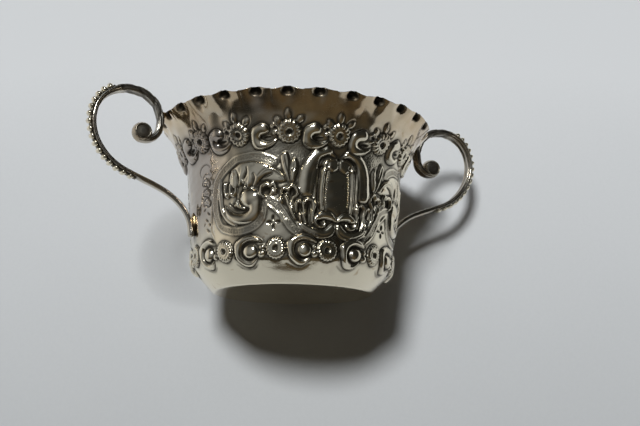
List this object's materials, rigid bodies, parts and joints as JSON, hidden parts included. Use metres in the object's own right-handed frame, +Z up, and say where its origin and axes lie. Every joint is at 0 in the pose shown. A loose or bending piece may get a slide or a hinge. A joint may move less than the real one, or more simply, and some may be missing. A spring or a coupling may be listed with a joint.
{
  "type": "sugar bowl",
  "caption": "Open two-handled silver sugar bowl with a crimped, flared rim, chased flower and scroll work, and scroll handles with beaded backs.",
  "frame": {"origin": "centre of the underside of the flat base", "axes": "+Z up out of the bowl, X through both handles, Y from front to back"},
  "size_m": [0.1496, 0.097, 0.068],
  "materials": {
    "chased_silver": "polished raised silver with dark oxide in the chasing and brown tarnish under the rim",
    "handle_silver": "polished silver, worn bright on the ridges and dark in the grooves",
    "beading_silver": "polished silver beads with dark oxide between them",
    "solder": "silver solder with a golden cast"
  },
  "bodies": {
    "root": {"bowl_body": "chased_silver", "left_handle_bar": "handle_silver", "right_handle_bar": "handle_silver", "left_volute_ball": "handle_silver", "right_volute_ball": "handle_silver", "left_beading": "beading_silver", "right_beading": "beading_silver", "left_rim_solder": "solder", "right_rim_solder": "solder", "left_foot_solder": "solder", "right_foot_solder": "solder"}
  },
  "joints": []
}
